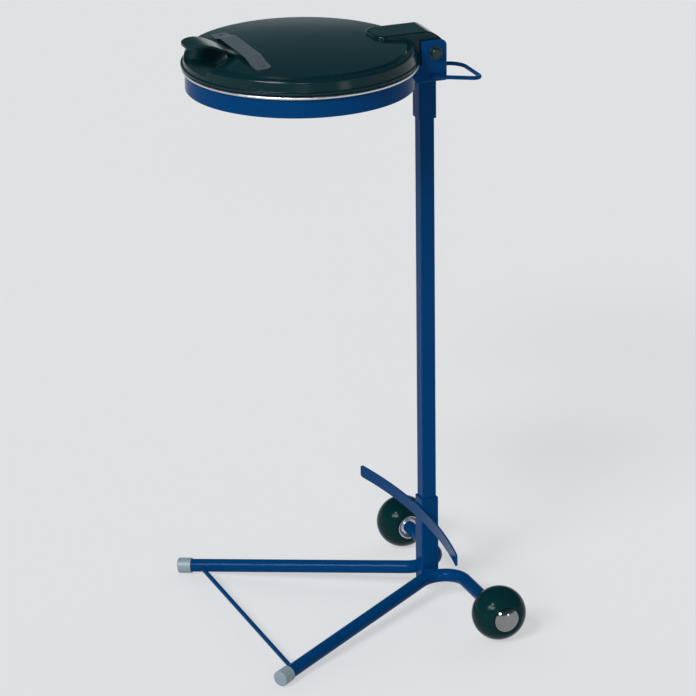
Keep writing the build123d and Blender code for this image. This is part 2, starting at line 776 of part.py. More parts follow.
with BuildPart() as tongue_hollow:
    with BuildSketch(Plane.YZ):
        add(tongue_side.sketch_local)
        offset(amount=-tongue_wall, mode=Mode.REPLACE)
        with Locations((tongue_hollow_front_y, tongue_bottom_z - tongue_wall)):
            Rectangle(
                tongue_hollow_length,
                lid_flange_z - tongue_bottom_z + 2 * tongue_wall,
                align=(Align.MIN, Align.MIN),
            )
            Rectangle(
                tongue_hollow_length,
                tongue_top_z - tongue_bottom_z + tongue_wall,
                align=(Align.MIN, Align.MIN),
                mode=Mode.INTERSECT,
            )
    extrude(amount=tongue_hollow_half_width, both=True)
    add(lid_form.part, mode=Mode.SUBTRACT)

with BuildPart() as tongue:
    with BuildSketch(Plane.YZ):
        add(tongue_side.sketch_local)
    extrude(amount=tongue_half_width, both=True)
    fillet(tongue.edges().filter_by(Axis.Z).group_by(Axis.Y)[0], radius=tongue_front_r)
    fillet(tongue.faces().sort_by(Axis.Z)[-1].edges(), radius=tongue_edge_r)

# Grip lip: a visor that rises out of the crown over the finger recess
grip_root_z = dome_z(grip_root_y - ring_centre_y, lid_wall / 2)
with BuildPart() as grip_lip:
    with BuildSketch(Plane.YZ):
        with BuildLine():
            Spline(
                (grip_root_y, grip_root_z),
                (grip_middle_y, lid_top_z + grip_middle_rise),
                (grip_crest_y, grip_crest_z),
                (grip_tip_y - grip_thickness, grip_crest_z - grip_drop),
                tangents=[(-1, 0), (-1, -grip_end_fall)],
            )
        trace(line_width=grip_thickness)
    extrude(amount=grip_half_width, both=True)
    with BuildSketch(Plane.XY.offset(lid_flange_z)):
        with BuildLine():
            Polyline(
                (-grip_half_width, grip_root_y),
                (-grip_half_width, grip_crest_y),
                (-grip_nose_half_width, grip_tip_y),
                (grip_nose_half_width, grip_tip_y),
                (grip_half_width, grip_crest_y),
                (grip_half_width, grip_root_y),
                close=True,
            )
        grip_plan = make_face()
        fillet(grip_plan.vertices().group_by(Axis.Y)[0], radius=grip_tip_round)
    extrude(amount=grip_crest_z + grip_thickness - lid_flange_z, mode=Mode.INTERSECT)
    add(lid_hollow.part, mode=Mode.SUBTRACT)

with BuildPart() as lid:
    add(lid_form.part)
    add(tongue.part)
    add(lid_hollow.part, mode=Mode.SUBTRACT)
    add(tongue_hollow.part, mode=Mode.SUBTRACT)
    with BuildSketch(hinge_section):
        Circle(barrel_d / 2)
    extrude(amount=bracket_half_width - bracket_plate - run_gap, both=True)
    with BuildSketch(hinge_section):
        Circle(bolt_d / 2 + pin_gap)
    extrude(amount=bracket_half_width, both=True, mode=Mode.SUBTRACT)

    # Ribs inside the skirt, which rest the lid on the ring band's edge
    rib_outer_r = lid_skirt_bottom_r - lid_wall / 2
    rib_inner_r = lid_skirt_bottom_r - lid_wall - lid_rib_width
    for index in range(lid_rib_count):
        angle = math.radians(lid_rib_start + index * 360 / lid_rib_count)
        outwards = Vector(math.cos(angle), math.sin(angle), 0)
        with BuildSketch(Plane((0, ring_centre_y, 0), outwards, outwards.cross(Vector(0, 0, 1)))):
            with BuildLine():
                Polyline(
                    (rib_inner_r, band_top_z + lid_gap),
                    (rib_outer_r, band_top_z + lid_gap),
                    (rib_outer_r, lid_flange_z + lid_flange_thickness),
                    (lid_skirt_top_r - lid_wall / 2, lid_skirt_top_z - lid_wall / 2),
                    (lid_shoulder_r, lid_shoulder_z - lid_wall / 2),
                    (rib_inner_r, lid_groove_z - lid_wall / 2),
                    close=True,
                )
            make_face()
        extrude(amount=lid_rib_thickness / 2, both=True)
    add(make_recess_tool(0), mode=Mode.SUBTRACT)
    add(grip_lip.part)

    # Two shallow notches let the flange pass the bracket's plates as the lid opens
    sweep_r = math.hypot(bracket_front_y - hinge_y, bracket_top_z - hinge_z) + notch_gap
    notch_width = bracket_plate + 2 * notch_side_gap
    for side in (1, -1):
        notch_x = side * (bracket_half_width - bracket_plate / 2) - notch_width / 2
        with BuildSketch(hinge_section.offset(notch_x)):
            Circle(sweep_r)
        extrude(amount=notch_width, mode=Mode.SUBTRACT)

    # Holes for the strap's rivets
    for side in (1, -1):
        with BuildSketch(crown_plane(side * rivet_x, strap_y)):
            Circle(rivet_shank_d / 2 + pin_gap)
        extrude(amount=2 * lid_wall, both=True, mode=Mode.SUBTRACT)
save(lid, "lid")

# Strap: lies on the crown at both ends, bent up to a flat bridge between them
strap_origin = crown_plane(0, strap_y)
strap_section = Plane(
    origin=strap_origin.origin,
    x_dir=(1, 0, 0),
    z_dir=Vector(1, 0, 0).cross(strap_origin.z_dir),
)


def crown_drop(x):
    """Fall of the crown from the strap's middle out to x, seen along the strap's edge."""
    return dome_r - math.sqrt(dome_r**2 - x**2)


with BuildPart() as lid_strap:
    foot_start_x = strap_length / 2 - strap_foot_length
    lift = weld_gap + strap_thickness / 2
    half_points = [
        (strap_length / 2, lift - crown_drop(strap_length / 2)),
        (foot_start_x, lift - crown_drop(foot_start_x)),
        (strap_flat_length / 2, lift + strap_rise),
    ]
    with BuildSketch(strap_section):
        with BuildLine():
            FilletPolyline(
                *half_points,
                *[(-x, z) for x, z in reversed(half_points)],
                radius=strap_bend_r,
            )
        trace(line_width=strap_thickness)
    extrude(amount=strap_width / 2, both=True)
    ends = lid_strap.faces().sort_by(Axis.X)
    end_corners = ends[0].edges() + ends[-1].edges()
    fillet(end_corners.filter_by(Axis.Y, reverse=True).filter_by(
        lambda edge: edge.length < 2 * strap_thickness), radius=strap_end_round)
    for side in (1, -1):
        with BuildSketch(crown_plane(side * rivet_x, strap_y)):
            Circle(rivet_shank_d / 2 + pin_gap)
        extrude(amount=2 * strap_thickness, both=True, mode=Mode.SUBTRACT)
save(lid_strap, "lid_strap")

with BuildPart() as strap_rivets:
    for side in (1, -1):
        seat = crown_plane(side * rivet_x, strap_y)
        head_z = strap_thickness + 2 * weld_gap
        tail_z = -lid_wall - weld_gap
        with BuildSketch(seat.offset(tail_z - rivet_tail_height)):
            Circle(rivet_shank_d / 2)
        extrude(amount=head_z - tail_z + rivet_tail_height)
        with BuildSketch(seat.offset(tail_z)):
            Circle(rivet_tail_d / 2)
        extrude(amount=-rivet_tail_height)
        with BuildSketch(seat.offset(head_z)):
            Circle(rivet_head_d / 2)
        extrude(amount=rivet_head_height)
        head_top = strap_rivets.faces().sort_by_distance(seat.offset(head_z + rivet_head_height).origin)[0]
        fillet(head_top.edges(), radius=rivet_head_height / 2)
save(strap_rivets, "strap_rivets")
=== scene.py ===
"""Finishes the wheeled stand for waste sacks: paint, plastics, rubber, metal, welds, stage."""

import json
import math

import bpy
from mathutils import Matrix, Vector


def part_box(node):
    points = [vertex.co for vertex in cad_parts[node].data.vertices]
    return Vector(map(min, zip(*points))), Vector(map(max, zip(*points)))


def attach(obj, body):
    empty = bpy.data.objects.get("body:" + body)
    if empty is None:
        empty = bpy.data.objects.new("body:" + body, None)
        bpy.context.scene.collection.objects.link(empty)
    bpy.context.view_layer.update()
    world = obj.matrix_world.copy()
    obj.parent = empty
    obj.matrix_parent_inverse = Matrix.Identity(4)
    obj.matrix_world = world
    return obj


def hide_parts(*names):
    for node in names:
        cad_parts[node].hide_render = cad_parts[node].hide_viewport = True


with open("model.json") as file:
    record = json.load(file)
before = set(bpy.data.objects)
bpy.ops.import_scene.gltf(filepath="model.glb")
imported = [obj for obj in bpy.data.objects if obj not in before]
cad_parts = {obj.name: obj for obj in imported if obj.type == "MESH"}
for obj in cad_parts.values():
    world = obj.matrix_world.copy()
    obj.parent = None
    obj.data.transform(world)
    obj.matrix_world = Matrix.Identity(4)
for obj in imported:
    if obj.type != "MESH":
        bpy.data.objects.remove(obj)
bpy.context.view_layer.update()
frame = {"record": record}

bl_info = {
    "name": "Waste Sack Stand",
    "version": (1, 0, 0),
    "blender": (4, 5, 0),
    "location": "View3D > Sidebar > Sack Stand",
    "description": "Finishes a wheeled stand for waste sacks and sets it on a pale stage",
    "category": "Add Mesh",
}


def middle(node):
    """Centre of a node's box at rest."""
    low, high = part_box(node)
    return [(first + second) / 2 for first, second in zip(low, high)]


POST_Y = middle("post")[1]
AIM_BEFORE_POST = 0.150      # the view was measured about a point this far in front of the post
PHOTO_PIXELS = 696
SENSOR_WIDTH = 36.0          # millimetres
VIEW_REACH = 100.0           # metres, past which the camera sees nothing

# Soft boxes: the direction each stands in, how many degrees wide it looks, its strength
SOFT_BOXES = (
    ("strip_left", (0.364, -0.753, 0.56), 10.0, 0.80),
    ("strip_middle", (0.50, -0.67, 0.56), 10.0, 0.80),
    ("strip_right", (0.617, -0.564, 0.56), 10.0, 0.80),
    ("box_above", (0.43, -0.57, 0.78), 11.0, 1.0),
    ("camera_box", (0.90, -0.29, 0.31), 10.0, 0.40),
    ("low_box", (0.91, 0.385, 0.13), 10.0, 0.07),
)
# Bounced light on the sides that the soft boxes leave dark, which no gloss mirrors
FILLS = (
    ("rear_fill", (-0.45, 0.80, 0.25), 60.0, 1.5),
    ("left_fill", (-0.90, -0.15, 0.25), 60.0, 1.1),
)
ROOM_LIGHT = 0.17
ROOM_COLOUR = (0.94, 0.97, 1.0, 1.0)

# The backdrop is pale low down and shades off above: from which height of the direction it
# is seen in to which, and to what colour
UPPER_ROOM = (
    (0.08, 0.17, (0.10, 0.18, 0.20)),
    (0.17, 0.50, (0.02, 0.06, 0.07)),
)
FLOOR_SIDE = 60.0
FLOOR_CLOUD = 0.005          # share by which the floor's own colour wavers
FLOOR_GLOW = 0.97
FLOOR_OWN_COLOUR = 0.7       # share of the floor that is seen as its plain colour

# Finishes
PAINT = "blue_powder_paint"
ZINC = "zinc_plating"
CUP_WASHERS = ("cup_washer_right", "cup_washer_left")
SCUFF_COLOUR = (0.05, 0.09, 0.15, 1.0)
DUST_COLOUR = (0.06, 0.085, 0.085, 1.0)
EDGE_SAMPLES = 4
SOFT_SAMPLES = 6

# Shape of a weld bead: tip and waist as shares of its radius, how fast it swells from its end
BEAD_TIP = 0.35
BEAD_RISE = 5.0
BEAD_WAIST = 0.86
BEAD_SIDES = 10
BEAD_LEAST_RIPPLES = 3
SAME_RUN = 1e-7              # runs this alike get a copy of the first one's bead

# Seams, in metres, with shares of a bead's radius where that is said
FOOT_CONTACT_Z = 0.04438     # where the foot tubes touch the sleeve's flanks
FOOT_CONTACT_FORWARD = 0.00185
FOOT_GROOVE = 0.0085         # beads above and below that height
FOOT_BEAD_HALF = 0.011       # half the bead's length
FOOT_BEAD_OUT = 0.55         # share of the radius, out from the sleeve's flank
BAR_BEAD_INSET = 0.003
BAR_BEAD_OUT = 0.0012
SLEEVE_CORNER = 0.003
SLEEVE_BEAD_DROP = 0.4       # share of the radius, below the sleeve's top
BAND_BEAD_OUT = 0.0008
BAND_BEAD_INSET = 0.0015
BAND_BEAD_TOP = 0.0195
HANDLE_LEG_GAP = 0.0009
HANDLE_FRONT = -0.004
HANDLE_RISE = 0.011
HANDLE_SLOPE = math.radians(7.5)
HANDLE_GROOVE = 0.0031
HANDLE_BEAD_REACH = (0.004, 0.026)
TUBE_RADIUS = 0.01175
TUBE_AT_ROD = 0.24265        # foot tube's centre line, where the brace rod's axis meets it
TUBE_TURN = (0.5420, 0.8404) # its heading towards the sleeve, across and back
RING_SEGMENTS = 24
RING_SIDES = 8
RING_GAP = 0.0003            # between the rod and the middle of its ring bead
RING_THICKNESS = 0.0013

# The post's screws, in metres, with shares of the head's height and radius where that is said
SCREW_HEAD_HEIGHT = 0.0026
SCREW_SHANK_RADIUS = 0.0021
SCREW_SOCKET_RADIUS = 0.0016
SCREW_SOCKET_MIDDLE = 0.95   # share of the height
SCREW_SIDES = 32
SCREW_RIM = 0.4              # share of the height that is straight
SCREW_DOME = ((0.70, 0.94), (0.90, 0.80), (1.0, 0.60))    # share of the height, of the radius
SCREW_SMOOTH_ANGLE = math.radians(35.0)
FACING = 0.99                # how squarely a face looks along an axis to count as an end


class StandColours(bpy.types.PropertyGroup):
    """Colours of the stand, as linear values."""

    paint: bpy.props.FloatVectorProperty(
        name="Paint", description="Powder paint on the steel",
        default=(0.0002, 0.0330, 0.117), size=3, min=0.0, max=1.0, subtype="COLOR",
    )
    lid: bpy.props.FloatVectorProperty(
        name="Lid", description="Moulded plastic of the lid",
        default=(0.0018, 0.0150, 0.0185), size=3, min=0.0, max=1.0, subtype="COLOR",
    )
    strap: bpy.props.FloatVectorProperty(
        name="Strap", description="Strap across the lid",
        default=(0.055, 0.072, 0.084), size=3, min=0.0, max=1.0, subtype="COLOR",
    )
    foot_cap: bpy.props.FloatVectorProperty(
        name="Foot caps", description="Plastic caps on the feet",
        default=(0.175, 0.235, 0.270), size=3, min=0.0, max=1.0, subtype="COLOR",
    )
    rubber: bpy.props.FloatVectorProperty(
        name="Rubber", description="Wheels",
        default=(0.0014, 0.0165, 0.0180), size=3, min=0.0, max=1.0, subtype="COLOR",
    )
    background: bpy.props.FloatVectorProperty(
        name="Background", description="Floor and backdrop as the camera sees them",
        default=(0.73, 0.745, 0.76), size=3, min=0.0, max=1.0, subtype="COLOR",
    )


class StandCamera(bpy.types.PropertyGroup):
    """Where the photograph was taken from."""

    azimuth: bpy.props.FloatProperty(
        name="Azimuth", description="Turn round the stand, from its front",
        default=math.radians(69.0), subtype="ANGLE",
    )
    elevation: bpy.props.FloatProperty(
        name="Elevation", description="Height of the view above the horizon",
        default=math.radians(20.51), subtype="ANGLE",
    )
    roll: bpy.props.FloatProperty(
        name="Roll", description="Tilt of the picture",
        default=math.radians(0.76), subtype="ANGLE",
    )
    distance: bpy.props.FloatProperty(
        name="Distance", description="From the aim point to the lens",
        default=6.986, unit="LENGTH",
    )
    aim: bpy.props.FloatVectorProperty(
        name="Aim", description="Point that the view was measured about",
        default=(0.0, POST_Y - AIM_BEFORE_POST, 0.48), size=3, subtype="TRANSLATION",
    )
    aim_pixel: bpy.props.FloatVectorProperty(
        name="Aim in the picture",
        description="Where the aim point falls, in pixels from the top left",
        default=(345.96, 354.3), size=2,
    )
    pixels_per_metre: bpy.props.FloatProperty(
        name="Scale", description="Pixels to a metre at the aim point", default=574.9,
    )


class StandWelds(bpy.types.PropertyGroup):
    """Sizes of the weld beads."""

    foot: bpy.props.FloatProperty(
        name="Foot beads", description="Radius of the beads between foot tubes and sleeve",
        default=0.0030, unit="LENGTH",
    )
    bar: bpy.props.FloatProperty(
        name="Bar beads", description="Radius of the beads on the bowed bar",
        default=0.0023, unit="LENGTH",
    )
    bracket: bpy.props.FloatProperty(
        name="Bracket beads", description="Radius of the beads on the hinge bracket",
        default=0.0020, unit="LENGTH",
    )
    handle: bpy.props.FloatProperty(
        name="Handle beads", description="Radius of the beads along the handle's legs",
        default=0.0017, unit="LENGTH",
    )
    pitch: bpy.props.FloatProperty(
        name="Ripple", description="Length of one ripple of a bead",
        default=0.0016, unit="LENGTH",
    )


class Value:
    """A number socket in a shader, with Python's operators as Math nodes."""

    def __init__(self, shading, socket):
        self.shading = shading
        self.socket = socket

    def _math(self, operation, first, second):
        return self.shading.node("ShaderNodeMath", {"operation": operation}, [first, second])

    def __add__(self, other):
        return self._math("ADD", self, other)

    def __radd__(self, other):
        return self._math("ADD", other, self)

    def __sub__(self, other):
        return self._math("SUBTRACT", self, other)

    def __rsub__(self, other):
        return self._math("SUBTRACT", other, self)

    def __mul__(self, other):
        return self._math("MULTIPLY", self, other)

    def __rmul__(self, other):
        return self._math("MULTIPLY", other, self)


class Shading:
    """The node tree of a material or of the world, and the one way nodes are added to it."""

    def __init__(self, owner):
        owner.use_nodes = True
        self.tree = owner.node_tree
        self.tree.nodes.clear()

    def feed(self, socket, value):
        """Links a Value to a socket, or sets the socket to a number or colour."""
        if isinstance(value, Value):
            self.tree.links.new(value.socket, socket)
        else:
            socket.default_value = value

    def node(self, kind, settings=None, inputs=(), output=0):
        """Adds a node: settings first, then the values or links of its sockets."""
        made = self.tree.nodes.new(kind)
        for key, value in (settings or {}).items():
            setattr(made, key, value)
        pairs = inputs.items() if isinstance(inputs, dict) else enumerate(inputs)
        for key, value in pairs:
            self.feed(made.inputs[key], value)
        return Value(self, made.outputs[output]) if made.outputs else made

    def ramp(self, factor, low, high, start=0.0, end=1.0):
        """Turns a factor between low and high into a value from start to end."""
        settings = {"clamp": True}
        return self.node("ShaderNodeMapRange", settings, [factor, low, high, start, end])

    def mix(self, factor, first, second):
        """Mixes two shaders."""
        return self.node("ShaderNodeMixShader", None, [factor, first, second])

    def background_rays(self):
        """1 for the rays that show the background: to the camera, off gloss and through glass."""
        camera, glossy, through = (
            self.node("ShaderNodeLightPath", output=ray)
            for ray in ("Is Camera Ray", "Is Glossy Ray", "Is Transmission Ray")
        )
        settings = {"operation": "ADD", "use_clamp": True}
        return self.node("ShaderNodeMath", settings, [camera + glossy, through])


class Finish(Shading):
    """A material with one Principled shader, and the nodes that feed it."""

    def __init__(self, name):
        self.material = bpy.data.materials.new(name)
        super().__init__(self.material)
        self.shader = self.node("ShaderNodeBsdfPrincipled")
        self.output = self.node("ShaderNodeOutputMaterial", None, {"Surface": self.shader})

    def place(self):
        return self.node("ShaderNodeTexCoord", output="Object")

    def noise(self, scale, detail=3.0, roughness=0.5, vector=None):
        inputs = {
            "Vector": vector or self.place(),
            "Scale": scale,
            "Detail": detail,
            "Roughness": roughness,
        }
        return self.node("ShaderNodeTexNoise", None, inputs)

    def stretched(self, x, y, z):
        """Object coordinates, drawn out along each axis."""
        inputs = {"Vector": self.place(), "Scale": (x, y, z)}
        return self.node("ShaderNodeMapping", None, inputs)

    def blend(self, factor, first, second):
        """Mixes two colours."""
        inputs = {0: factor, 6: first, 7: second}
        return self.node("ShaderNodeMix", {"data_type": "RGBA"}, inputs, 2)

    def rounded(self, radius, samples):
        """Normal that is rounded over edges and into corners."""
        return self.node("ShaderNodeBevel", {"samples": samples}, {"Radius": radius})

    def edges(self, radius):
        """How far the rounded normal leaves the true one: 0 away from edges."""
        true_normal = self.node("ShaderNodeNewGeometry", output="Normal")
        normals = [self.rounded(radius, EDGE_SAMPLES), true_normal]
        settings = {"operation": "DOT_PRODUCT"}
        return 1.0 - self.node("ShaderNodeVectorMath", settings, normals, "Value")

    def bump(self, height, strength, distance, normal=None):
        inputs = {"Height": height, "Strength": strength, "Distance": distance}
        if normal:
            inputs["Normal"] = normal
        return self.node("ShaderNodeBump", None, inputs)

    def set(self, **sockets):
        """Sets or links the shader's sockets; an underscore in a name stands for a space."""
        for key, value in sockets.items():
            self.feed(self.shader.socket.node.inputs[key.replace("_", " ")], value)
        return self.material


def rgba(colour):
    return (*colour, 1.0)


def scaled(colour, factor):
    return rgba(min(1.0, channel * factor) for channel in colour)


def paint_finish(colour):
    """Powder paint with a faint orange peel, thin spots on the edges and a little dust."""
    finish = Finish(PAINT)
    cloud = finish.noise(scale=9.0, detail=4.0, roughness=0.6)
    peel = finish.noise(scale=520.0, detail=2.0, roughness=0.5)
    dust = finish.noise(scale=160.0, detail=6.0, roughness=0.7)
    scuffs = finish.ramp(dust, low=0.66, high=0.78)
    patches = finish.noise(scale=75.0, detail=4.0, roughness=0.6)
    on_edge = finish.ramp(finish.edges(0.0012), low=0.10, high=0.45)
    thin = on_edge * finish.ramp(patches, low=0.40, high=0.62)
    shade = finish.blend(cloud, scaled(colour, 0.92), scaled(colour, 1.08))
    shade = finish.blend(scuffs * 0.10, shade, SCUFF_COLOUR)
    shade = finish.blend(thin * 0.35, shade, scaled(colour, 2.2))
    rough = finish.ramp(cloud, low=0.3, high=0.7, start=0.10, end=0.15) + 0.14 * scuffs
    normal = finish.rounded(0.0008, SOFT_SAMPLES)
    normal = finish.bump(peel, strength=0.10, distance=0.0002, normal=normal)
    return finish.set(
        Base_Color=shade, Roughness=rough, Normal=normal, IOR=1.5, Specular_IOR_Level=0.03,
    )


def lid_finish(colour):
    """Black moulding with flow clouds, fine dust, a few light scratches and soft edges."""
    finish = Finish("lid_moulding")
    cloud = finish.noise(scale=5.0, detail=3.0, roughness=0.55)
    specks = finish.noise(scale=420.0, detail=2.0, roughness=0.6)
    dust = finish.ramp(specks, low=0.66, high=0.76)
    grain = finish.noise(scale=1400.0, detail=2.0, roughness=0.5)
    along = finish.stretched(1.0, 7.0, 1.0)
    lines = finish.noise(scale=60.0, detail=5.0, roughness=0.75, vector=along)
    scratch = finish.ramp(lines, low=0.70, high=0.76)
    shade = finish.blend(cloud, scaled(colour, 0.8), scaled(colour, 1.25))
    shade = finish.blend(dust * 0.55, shade, DUST_COLOUR)
    rough = finish.ramp(cloud, low=0.3, high=0.7, start=0.13, end=0.20)
    rough = rough + 0.12 * scratch + 0.10 * dust
    normal = finish.rounded(0.0018, SOFT_SAMPLES)
    normal = finish.bump(grain, strength=0.10, distance=0.00015, normal=normal)
    return finish.set(
        Base_Color=shade, Roughness=rough, Normal=normal, IOR=1.5, Specular_IOR_Level=0.17,
    )


def plain_plastic_finish(name, colour, roughness, specular):
    """Satin moulded plastic with a fine grain and rubbed edges."""
    finish = Finish(name)
    cloud = finish.noise(scale=30.0, detail=3.0, roughness=0.5)
    grain = finish.noise(scale=1600.0, detail=2.0, roughness=0.5)
    patches = finish.noise(scale=60.0, detail=3.0, roughness=0.6)
    on_edge = finish.ramp(finish.edges(0.0010), low=0.08, high=0.40)
    rubbed = on_edge * finish.ramp(patches, low=0.40, high=0.60)
    shade = finish.blend(cloud, scaled(colour, 0.88), scaled(colour, 1.12))
    shade = finish.blend(rubbed * 0.4, shade, scaled(colour, 1.7))
    rough = finish.ramp(
        cloud, low=0.3, high=0.7, start=roughness - 0.04, end=roughness + 0.05,
    )
    normal = finish.rounded(0.0008, SOFT_SAMPLES)
    normal = finish.bump(grain, strength=0.15, distance=0.00015, normal=normal)
    return finish.set(
        Base_Color=shade, Roughness=rough, Normal=normal, Specular_IOR_Level=specular,
    )


def rubber_finish(colour):
    """Worn rubber: glossy where it has rolled clean, dusty in patches."""
    finish = Finish("wheel_rubber")
    cloud = finish.noise(scale=26.0, detail=5.0, roughness=0.65)
    patches = finish.noise(scale=240.0, detail=4.0, roughness=0.7)
    dust = finish.ramp(patches, low=0.52, high=0.72)
    grain = finish.noise(scale=900.0, detail=3.0, roughness=0.6)
    shade = finish.blend(cloud, scaled(colour, 0.85), scaled(colour, 1.25))
    shade = finish.blend(dust * 0.25, shade, scaled(colour, 2.4))
    rough = finish.ramp(cloud, low=0.3, high=0.7, start=0.08, end=0.13) + 0.08 * dust
    normal = finish.rounded(0.0014, SOFT_SAMPLES)
    normal = finish.bump(grain, strength=0.20, distance=0.0003, normal=normal)
    return finish.set(
        Base_Color=shade, Roughness=rough, Normal=normal, Specular_IOR_Level=0.06,
    )


def metal_finish(name, colour, low, high):
    """Bright metal with a fine haze, a painted reflection mottle and light handling marks."""
    finish = Finish(name)
    haze_and_reflection = finish.noise(scale=90.0, detail=4.0, roughness=0.6)
    touched = finish.noise(scale=300.0, detail=5.0, roughness=0.7)
    marks = finish.ramp(touched, low=0.62, high=0.74)
    fine = finish.noise(scale=1500.0, detail=2.0, roughness=0.5)
    # Painted reflection: the haze noise mottles the colour widely. This stands in for a mottled
    # floor mirrored in the metal as well as real plating haze.
    shade = finish.blend(haze_and_reflection, scaled(colour, 0.84), scaled(colour, 1.14))
    rough = finish.ramp(haze_and_reflection, low=0.3, high=0.7, start=low, end=high) + 0.10 * marks
    normal = finish.bump(fine, strength=0.05, distance=0.0001)
    return finish.set(Base_Color=shade, Roughness=rough, Normal=normal, Metallic=1.0)


def coat(names, material):
    """Gives CAD nodes a material in all their slots."""
    for name in names:
        piece = bpy.data.objects[name]
        piece.data.materials.clear()
        piece.data.materials.append(material)


def nodes_of_slot(slot):
    return [row["node"] for row in frame["record"]["subparts"] if row["material_slot"] == slot]


class SACKSTAND_OT_finish_steel(bpy.types.Operator):
    """Paint the steel pieces blue"""

    bl_idname = "sackstand.finish_steel"
    bl_label = "Paint steel"

    def execute(self, context):
        coat(nodes_of_slot("blue_paint"), paint_finish(context.scene.stand_colours.paint))
        return {"FINISHED"}


class SACKSTAND_OT_finish_mouldings(bpy.types.Operator):
    """Finish the lid, its strap and the plastic caps"""

    bl_idname = "sackstand.finish_mouldings"
    bl_label = "Finish mouldings"

    def execute(self, context):
        colours = context.scene.stand_colours
        coat(nodes_of_slot("lid_plastic"), lid_finish(colours.lid))
        for slot, name, colour, roughness in (
            ("strap_plastic", "strap_plastic", colours.strap, 0.42),
            ("black_cap_plastic", "bolt_cap_plastic", colours.lid, 0.3),
            ("grey_plastic", "foot_cap_plastic", colours.foot_cap, 0.4),
        ):
            coat(nodes_of_slot(slot), plain_plastic_finish(name, colour, roughness, 0.4))
        return {"FINISHED"}


class SACKSTAND_OT_finish_running_gear(bpy.types.Operator):
    """Finish the wheels, their chromed caps and the zinc-plated pieces"""

    bl_idname = "sackstand.finish_running_gear"
    bl_label = "Finish wheels and metal"

    def execute(self, context):
        coat(nodes_of_slot("wheel_rubber"), rubber_finish(context.scene.stand_colours.rubber))
        for names, name, colour, low, high in (
            (nodes_of_slot("chrome"), "bright_chrome", (0.27, 0.27, 0.27), 0.05, 0.10),
            (CUP_WASHERS, "plated_washer", (0.80, 0.81, 0.82), 0.26, 0.34),
            (nodes_of_slot("zinc_steel"), ZINC, (0.66, 0.67, 0.68), 0.24, 0.36),
        ):
            coat(names, metal_finish(name, colour, low, high))
        return {"FINISHED"}


def deselect():
    bpy.ops.object.select_all(action="DESELECT")


def pick(*pieces):
    """Selects these pieces alone and makes the first of them active."""
    deselect()
    for piece in pieces:
        piece.select_set(True)
    bpy.context.view_layer.objects.active = pieces[0]


def copy_moved(piece, offset):
    """A copy of a part, with its own mesh, moved by an offset."""
    pick(piece)
    bpy.ops.object.duplicate_move(TRANSFORM_OT_translate={"value": offset})
    return bpy.context.active_object


def join_parts(*parts):
    """Joins parts into one object at the origin, unturned and unscaled."""
    pick(*parts)
    if len(parts) > 1:
        bpy.ops.object.join()
    bpy.ops.object.transform_apply(location=True, rotation=True, scale=True)
    return parts[0]


def copy_mirrored(piece):
    """A copy of a part at the origin, with its own mesh, mirrored to the stand's other side."""
    other = copy_moved(piece, (0.0, 0.0, 0.0))
    other.scale.x = -1.0
    join_parts(other)
    bpy.ops.object.mode_set(mode="EDIT")
    bpy.ops.mesh.select_all(action="SELECT")
    bpy.ops.mesh.normals_make_consistent(inside=False)
    bpy.ops.object.mode_set(mode="OBJECT")
    return other


def finish_piece(piece, name, material=PAINT):
    """Names a new piece, gives it its material and sets it on the stand."""
    piece.name = piece.data.name = name
    piece.data.materials.clear()
    piece.data.materials.append(bpy.data.materials[material])
    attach(piece, "stand")
    return piece


def lay_bead(start, run, radius, pitch):
    """A weld bead along a run: a disc drawn out in steps that swell and shrink."""
    steps = 2 * max(BEAD_LEAST_RIPPLES, round(run.length / pitch))
    step = run / steps
    deselect()
    bpy.ops.mesh.primitive_circle_add(
        vertices=BEAD_SIDES, radius=radius, fill_type="NGON", location=start,
        rotation=run.to_track_quat("Z", "Y").to_euler(),
    )
    bead = bpy.context.active_object
    bpy.ops.object.mode_set(mode="EDIT")
    bpy.ops.mesh.select_all(action="SELECT")
    bpy.ops.transform.resize(value=(BEAD_TIP,) * 3, center_override=start)
    size = BEAD_TIP
    for number in range(1, steps + 1):
        bpy.ops.mesh.extrude_region_move(TRANSFORM_OT_translate={"value": step})
        from_end = min(number, steps - number) / steps
        swell = min(1.0, BEAD_TIP + from_end * BEAD_RISE)
        wanted = swell * (1.0 if number % 2 else BEAD_WAIST)
        bpy.ops.transform.resize(
            value=(wanted / size,) * 3, center_override=start + step * number,
        )
        size = wanted
    bpy.ops.mesh.select_all(action="SELECT")
    bpy.ops.mesh.normals_make_consistent(inside=False)
    bpy.ops.object.mode_set(mode="OBJECT")
    return bead


def weld(runs, radius, pitch):
    """Lays the beads of one seam, copying those that repeat, and joins and rounds them."""
    beads, laid = [], []
    for start, end in runs:
        start, run = Vector(start), Vector(end) - Vector(start)
        like = [known for known in laid if (known[1] - run).length < SAME_RUN]
        if like:
            first_start, _, first_bead = like[0]
            beads.append(copy_moved(first_bead, start - first_start))
        else:
            beads.append(lay_bead(start, run, radius, pitch))
            laid.append((start, run, beads[-1]))
    piece = join_parts(*beads)
    rounding = piece.modifiers.new("rounding", "SUBSURF")
    rounding.levels = rounding.render_levels = 1
    bpy.ops.object.modifier_apply(modifier=rounding.name)
    bpy.ops.object.shade_smooth()
    return piece


class SACKSTAND_OT_weld_foot(bpy.types.Operator):
    """Lay the beads between the foot tubes and the sleeve"""

    bl_idname = "sackstand.weld_foot"
    bl_label = "Weld foot"

    def execute(self, context):
        welds = context.scene.stand_welds
        (low_x, low_y, _), (high_x, high_y, _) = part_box("lower_sleeve")
        contact_y = (low_y + high_y) / 2 - FOOT_CONTACT_FORWARD
        x = high_x + welds.foot * FOOT_BEAD_OUT
        right = weld([
            ((x, contact_y - FOOT_BEAD_HALF, level), (x, contact_y + FOOT_BEAD_HALF, level))
            for level in (FOOT_CONTACT_Z + FOOT_GROOVE, FOOT_CONTACT_Z - FOOT_GROOVE)
        ], welds.foot, welds.pitch)
        left = join_parts(copy_moved(right, (low_x + high_x - 2 * x, 0.0, 0.0)))
        finish_piece(right, "foot_weld_right")
        finish_piece(left, "foot_weld_left")
        return {"FINISHED"}


